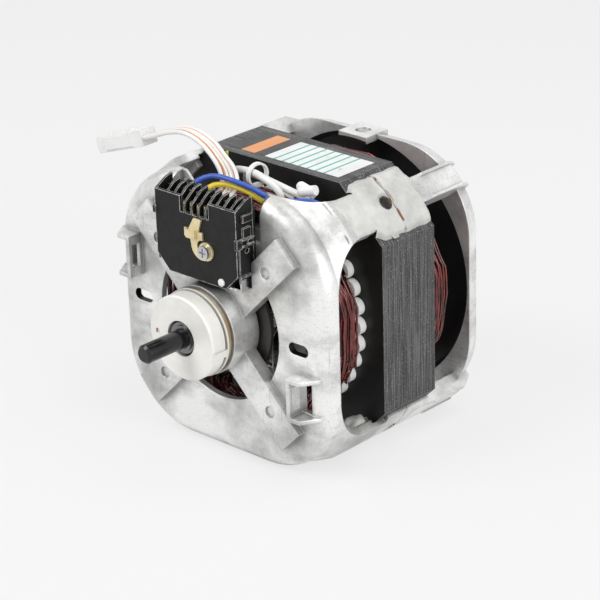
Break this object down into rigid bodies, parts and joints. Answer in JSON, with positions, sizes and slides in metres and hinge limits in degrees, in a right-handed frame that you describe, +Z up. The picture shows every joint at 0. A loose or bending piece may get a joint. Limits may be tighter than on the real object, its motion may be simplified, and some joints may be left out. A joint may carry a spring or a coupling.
{
  "type": "washing machine motor",
  "caption": "Open-frame split-phase motor: laminated stator bonded between two cast end bells, start switch, governor and wiring harness.",
  "frame": {"origin": "on the shaft axis in the outer face of the front bell's plate, midway between the two pump slots", "axes": "shaft along Y with the pump end towards -Y and the coupling end towards +Y; +Z up, towards the start switch; +X right, seen from the pump end"},
  "size_m": [0.1595, 0.208, 0.1596],
  "materials": {
    "cast_aluminium": "as cast, mottled",
    "adhesive": "amber, cured",
    "lamination_steel": "black varnished laminations",
    "slot_insulation": "satin film",
    "enamelled_wire": "glossy enamel over copper",
    "sintered_bronze": "porous, oiled",
    "oil_felt": "felt",
    "spring_steel": "bright",
    "pressed_steel": "plated",
    "black_shaft_steel": "blackened",
    "thrust_plastic": "natural nylon",
    "black_phenolic": "moulded",
    "brass_contact": "bright",
    "cream_strap": "pale plated",
    "white_nylon": "translucent white",
    "blue_insulation": "satin",
    "yellow_insulation": "satin",
    "green_insulation": "satin",
    "white_insulation": "satin",
    "orange_insulation": "satin",
    "pink_insulation": "satin"
  },
  "bodies": {
    "motor_body": {"front_bell": "cast_aluminium", "rear_bell": "cast_aluminium", "leg_bonds": "adhesive", "stator_core": "lamination_steel", "slot_liners": "slot_insulation", "main_winding": "enamelled_wire", "start_winding": "enamelled_wire", "front_bearing": "sintered_bronze", "front_felt": "oil_felt", "front_retainer": "spring_steel", "front_hub_cap": "cast_aluminium", "rear_bearing": "sintered_bronze", "rear_felt": "oil_felt", "rear_retainer": "spring_steel", "rear_hub_cap": "pressed_steel", "switch_housing": "black_phenolic", "switch_back": "black_phenolic", "switch_lever_pin": "spring_steel", "switch_contacts": "brass_contact", "terminal_blades": "spring_steel", "terminal_sockets": "brass_contact", "ground_clip": "cream_strap", "ground_screw": "spring_steel", "switch_rivet": "white_nylon", "switch_clip": "spring_steel", "blue_lead": "blue_insulation", "yellow_lead": "yellow_insulation", "white_lead": "white_insulation", "white_loop_lead": "white_insulation", "green_lead": "green_insulation", "splice_caps": "white_nylon", "lead_tie": "white_nylon", "harness_black": "white_insulation", "harness_orange": "orange_insulation", "harness_pink": "pink_insulation", "harness_white": "white_insulation", "harness_plug": "white_nylon"},
    "rotor": {"rotor_core": "lamination_steel", "rotor_cage": "cast_aluminium", "shaft": "black_shaft_steel", "thrust_washers": "thrust_plastic", "oil_slinger": "pressed_steel", "governor_plate": "pressed_steel", "governor_pins": "spring_steel", "governor_springs": "spring_steel"},
    "collar": {"governor_collar": "thrust_plastic"},
    "weight_top": {"governor_weight_top": "pressed_steel"},
    "weight_bottom": {"governor_weight_bottom": "pressed_steel"},
    "lever": {"switch_lever": "thrust_plastic"}
  },
  "joints": [
    {"name": "rotor_spin", "type": "hinge", "parent": "motor_body", "child": "rotor", "pos_m": [0, 0, 0], "axis": [0, 1, 0], "continuous": true},
    {"name": "weight_top_swing", "type": "hinge", "parent": "rotor", "child": "weight_top", "pos_m": [0, 0.015, 0.021], "axis": [1, 0, 0], "range_deg": [0, 22.5]},
    {"name": "weight_bottom_swing", "type": "hinge", "parent": "rotor", "child": "weight_bottom", "pos_m": [0, 0.015, -0.021], "axis": [-1, 0, 0], "range_deg": [0, 22.5]},
    {"name": "collar_slide", "type": "slide", "parent": "rotor", "child": "collar", "axis": [0, 1, 0], "range_m": [0, 0.0032], "stiffness_N_per_m": 600, "springref_m": -0.001, "deforming": ["governor_springs"]},
    {"name": "switch_lever_hinge", "type": "hinge", "parent": "motor_body", "child": "lever", "pos_m": [-0.00625, -0.006, 0.046], "axis": [1, 0, 0], "range_deg": [0, 8.5]}
  ],
  "couplings": [
    {"joint": "weight_top_swing", "follows": "collar_slide", "rad_per_m": 122.7},
    {"joint": "weight_bottom_swing", "follows": "collar_slide", "rad_per_m": 122.7},
    {"joint": "switch_lever_hinge", "follows": "collar_slide", "rad_per_m": 46.36}
  ]
}
